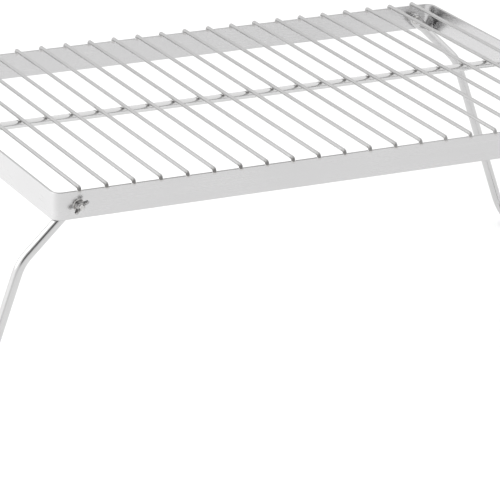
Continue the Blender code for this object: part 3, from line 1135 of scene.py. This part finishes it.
def makeScrewsAndWashers():
    for kind, name in (("spacer_washer", "spacer_washers"), ("nut_washer", "nut_washers")):
        low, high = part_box("left_back_" + kind)
        mesh = washerMesh(kind, (high.x - low.x) / 2, high.y - low.y)
        setAtCorners(name, mesh, low.y, kind)
    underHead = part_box("left_back_pivot_screw")[0].y + screwSize["headHeight"]
    setAtCorners("pivot_screws", screwMesh(), underHead, "pivot_screw")
    print("screws and washers made")


makeScrewsAndWashers()


# wing nuts: hub and two lobes melted together, then drilled
nutSize = {
    "hubRadius": 3.6 * mm,
    "hubHeight": 4.2 * mm,
    "hubTop": 0.83,
    "boreRadius": 2.12 * mm,
    "wingThickness": 1.4 * mm,
    "lobeRadius": 2.0 * mm,
    "lobeOut": 5.0 * mm,
    "lobeUp": 4.8 * mm,
    "armOut": 0.55,  # where an arm starts, as shares of the hub's radius and height
    "armUp": 0.42,
    "armWidth": 1.75,  # times the lobe's radius
    "armThickness": 1.12,  # times the wing's thickness
    "hubSides": 64,
    "lobeSides": 48,
    "boreSides": 40,
    "voxel": 0.15 * mm,
    "softness": 0.6,
    "softPasses": 9,
    "keepShare": 0.5,
    "angles": {"left_front": 40.0, "right_front": -70.0, "left_back": 110.0, "right_back": 40.0},
}


def nutMesh():
    size = nutSize
    hub, high = size["hubRadius"], size["hubHeight"]
    shape = bmesh.new()
    middleOfHub = Matrix.Translation((0, 0, high / 2))
    addCylinder(shape, size["hubSides"], hub, hub * size["hubTop"], high, middleOfHub)
    for side in (-1, 1):
        # the lobe is a thick disc, and the arm below it a straight bar running in to the hub
        tip = Vector((side * size["lobeOut"], 0, size["lobeUp"]))
        lobe = Matrix.Translation(tip) @ Matrix.Rotation(math.pi / 2, 4, "X")
        radius = size["lobeRadius"]
        addCylinder(shape, size["lobeSides"], radius, radius, size["wingThickness"], lobe)
        base = Vector((side * hub * size["armOut"], 0, high * size["armUp"]))
        arm = tip - base
        turn = Vector((0, 0, 1)).rotation_difference(arm).to_matrix().to_4x4()
        width, thickness = radius * size["armWidth"], size["wingThickness"] * size["armThickness"]
        scale = Matrix.Diagonal((width, thickness, arm.length, 1.0))
        bmesh.ops.create_cube(shape, size=1.0, matrix=Matrix.Translation((base + tip) / 2) @ turn @ scale)
    nut = addObject("wing_nut", meshOf("wing_nut", shape))
    melt = nut.modifiers.new("melt", "REMESH")
    melt.mode = "VOXEL"
    melt.voxel_size = size["voxel"]
    soften = nut.modifiers.new("soften", "SMOOTH")
    soften.factor = size["softness"]
    soften.iterations = size["softPasses"]
    thin = nut.modifiers.new("thin", "DECIMATE")
    thin.ratio = size["keepShare"]
    drill = cylinderAlongY("nut_bore", size["boreRadius"], 6 * high, (0, 0, 0), size["boreSides"])
    drill.data.transform(Matrix.Rotation(math.pi / 2, 4, "X"))
    mesh = carve(nut, [drill])
    smoothShade(mesh, 45.0)
    return mesh


def makeWingNuts():
    shared = nutMesh()
    shared.transform(Matrix.Rotation(-math.pi / 2, 4, "X"))
    for side, end in cornerNames:
        node = f"{side}_{end}_wing_nut"
        sign = -1 if end == "front" else 1
        low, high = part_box(node)
        seat = high.y if end == "front" else low.y
        x = pivot.x * (-1 if side == "left" else 1)
        own = shared.copy()
        spin = Matrix.Rotation(math.radians(nutSize["angles"][f"{side}_{end}"]), 4, "Y")
        outward = Matrix.Rotation(math.pi if sign < 0 else 0.0, 4, "X")
        own.transform(Matrix.Translation((x, seat, pivot.z)) @ outward @ spin)
        nut = addObject(f"{side}_{end}_wing_nut_cast", own, "nuts")
        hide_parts(node)
        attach(nut, node)
    print("wing nuts made,", len(shared.polygons), "faces each")


makeWingNuts()


# floor, light and camera
studio = {
    "floorHalf": 9.0,
    "floorShade": (0.93, 0.93, 0.93, 1.0),
    "floorPale": (0.95, 0.95, 0.95, 1.0),
    "floorDrop": 0.2 * mm,
    "skyLow": 0.98,
    "skyHigh": 1.12,
    "skyTop": 0.6,
    "leftGain": -0.02,
    "backGain": 0.06,
    "cameraSide": (-0.38, -0.79, 0.48),
    "cameraSideDark": 0.84,
    "cameraSideSpread": (0.921, 0.968),
    "leftPanel": (-0.93, 0.30, 0.15),
    "leftPanelGain": 0.40,
    "leftPanelSpread": (0.58, 0.86),
    "rightPanel": (0.81, -0.58, 0.07),
    "rightPanelGain": 0.34,
    "rightPanelSpread": (0.91, 0.975),
    "keyPower": 7.0,
    "keySize": 1.0,
    "keyPlace": (-1.25, 0.40, 0.85),
    "keyAim": (-0.75, 0.20, 0.0),
}


def makeFloor():
    shape = bmesh.new()
    bmesh.ops.create_grid(shape, x_segments=24, y_segments=24, size=studio["floorHalf"])
    mesh = meshOf("floor", shape)
    material, maker, shader, where = newMaterial("paleFloor", 0.0)
    pale = maker.noise(where, 3.0, 2.0)
    shade = maker.blend(pale * 0.3, studio["floorShade"], studio["floorPale"])
    maker.feed(shader.inputs["Base Color"], shade)
    shader.inputs["Roughness"].default_value = 0.9
    shader.inputs["Specular IOR Level"].default_value = 0.1
    floor = addObject("floor", mesh)
    mesh.materials.append(material)
    floor.location.z = -studio["floorDrop"]


def makeWorld():
    world = bpy.data.worlds.new("studio")
    world.use_nodes = True
    bpy.context.scene.world = world
    maker = Maker(world.node_tree)
    towards = maker.node("ShaderNodeTexCoord", {}, {}, "Generated")
    x, y, z = splitPlace(maker, towards)
    sky = maker.ramp(z, 0.0, studio["skyTop"], studio["skyLow"], studio["skyHigh"])
    side = 1.0 - studio["leftGain"] * x + studio["backGain"] * y

    def patch(name):
        # 1 towards that side of the room, 0 away from it
        aim = tuple(Vector(studio[name]).normalized())
        near = maker.node("ShaderNodeVectorMath", {"operation": "DOT_PRODUCT"}, {0: towards, 1: aim}, "Value")
        return maker.ramp(near, *studio[name + "Spread"])

    panels = studio["leftPanelGain"] * patch("leftPanel") + studio["rightPanelGain"] * patch("rightPanel")
    dark = 1.0 - studio["cameraSideDark"] * patch("cameraSide")
    background = world.node_tree.nodes["Background"]
    background.inputs["Color"].default_value = (1.0, 1.0, 1.0, 1.0)
    maker.feed(background.inputs["Strength"], (sky * side + panels) * dark)


def makeKeyLight():
    lamp = bpy.data.lights.new("key", "AREA")
    lamp.energy = studio["keyPower"]
    lamp.size = studio["keySize"]
    key = bpy.data.objects.new("key", lamp)
    bpy.context.scene.collection.objects.link(key)
    key.location = studio["keyPlace"]
    aim = Vector(studio["keyAim"]) - key.location
    key.rotation_mode = "QUATERNION"
    key.rotation_quaternion = aim.to_track_quat("-Z", "Y")


view = {
    "place": (-1.1293, -2.2985, 1.0163),
    "azimuth": math.radians(26.04),
    "fall": math.radians(20.19),
    "roll": math.radians(1.045),
    "lens": 238.5,
    "sensor": 36.0,
    "near": 0.05,
    "far": 40.0,
}


def makeCamera():
    camera = bpy.data.objects.new("camera", bpy.data.cameras.new("camera"))
    bpy.context.scene.collection.objects.link(camera)
    level = math.cos(view["fall"])
    towards = Vector(
        (math.sin(view["azimuth"]) * level, math.cos(view["azimuth"]) * level, -math.sin(view["fall"]))
    )
    camera.location = view["place"]
    camera.rotation_mode = "QUATERNION"
    camera.rotation_quaternion = towards.to_track_quat("-Z", "Y") @ Quaternion((0, 0, 1), view["roll"])
    camera.data.lens = view["lens"]
    camera.data.sensor_width = view["sensor"]
    camera.data.clip_start = view["near"]
    camera.data.clip_end = view["far"]
    bpy.context.scene.camera = camera


makeFloor()
makeWorld()
makeKeyLight()
makeCamera()
bpy.context.scene.view_settings.view_transform = "Standard"
print("studio made")
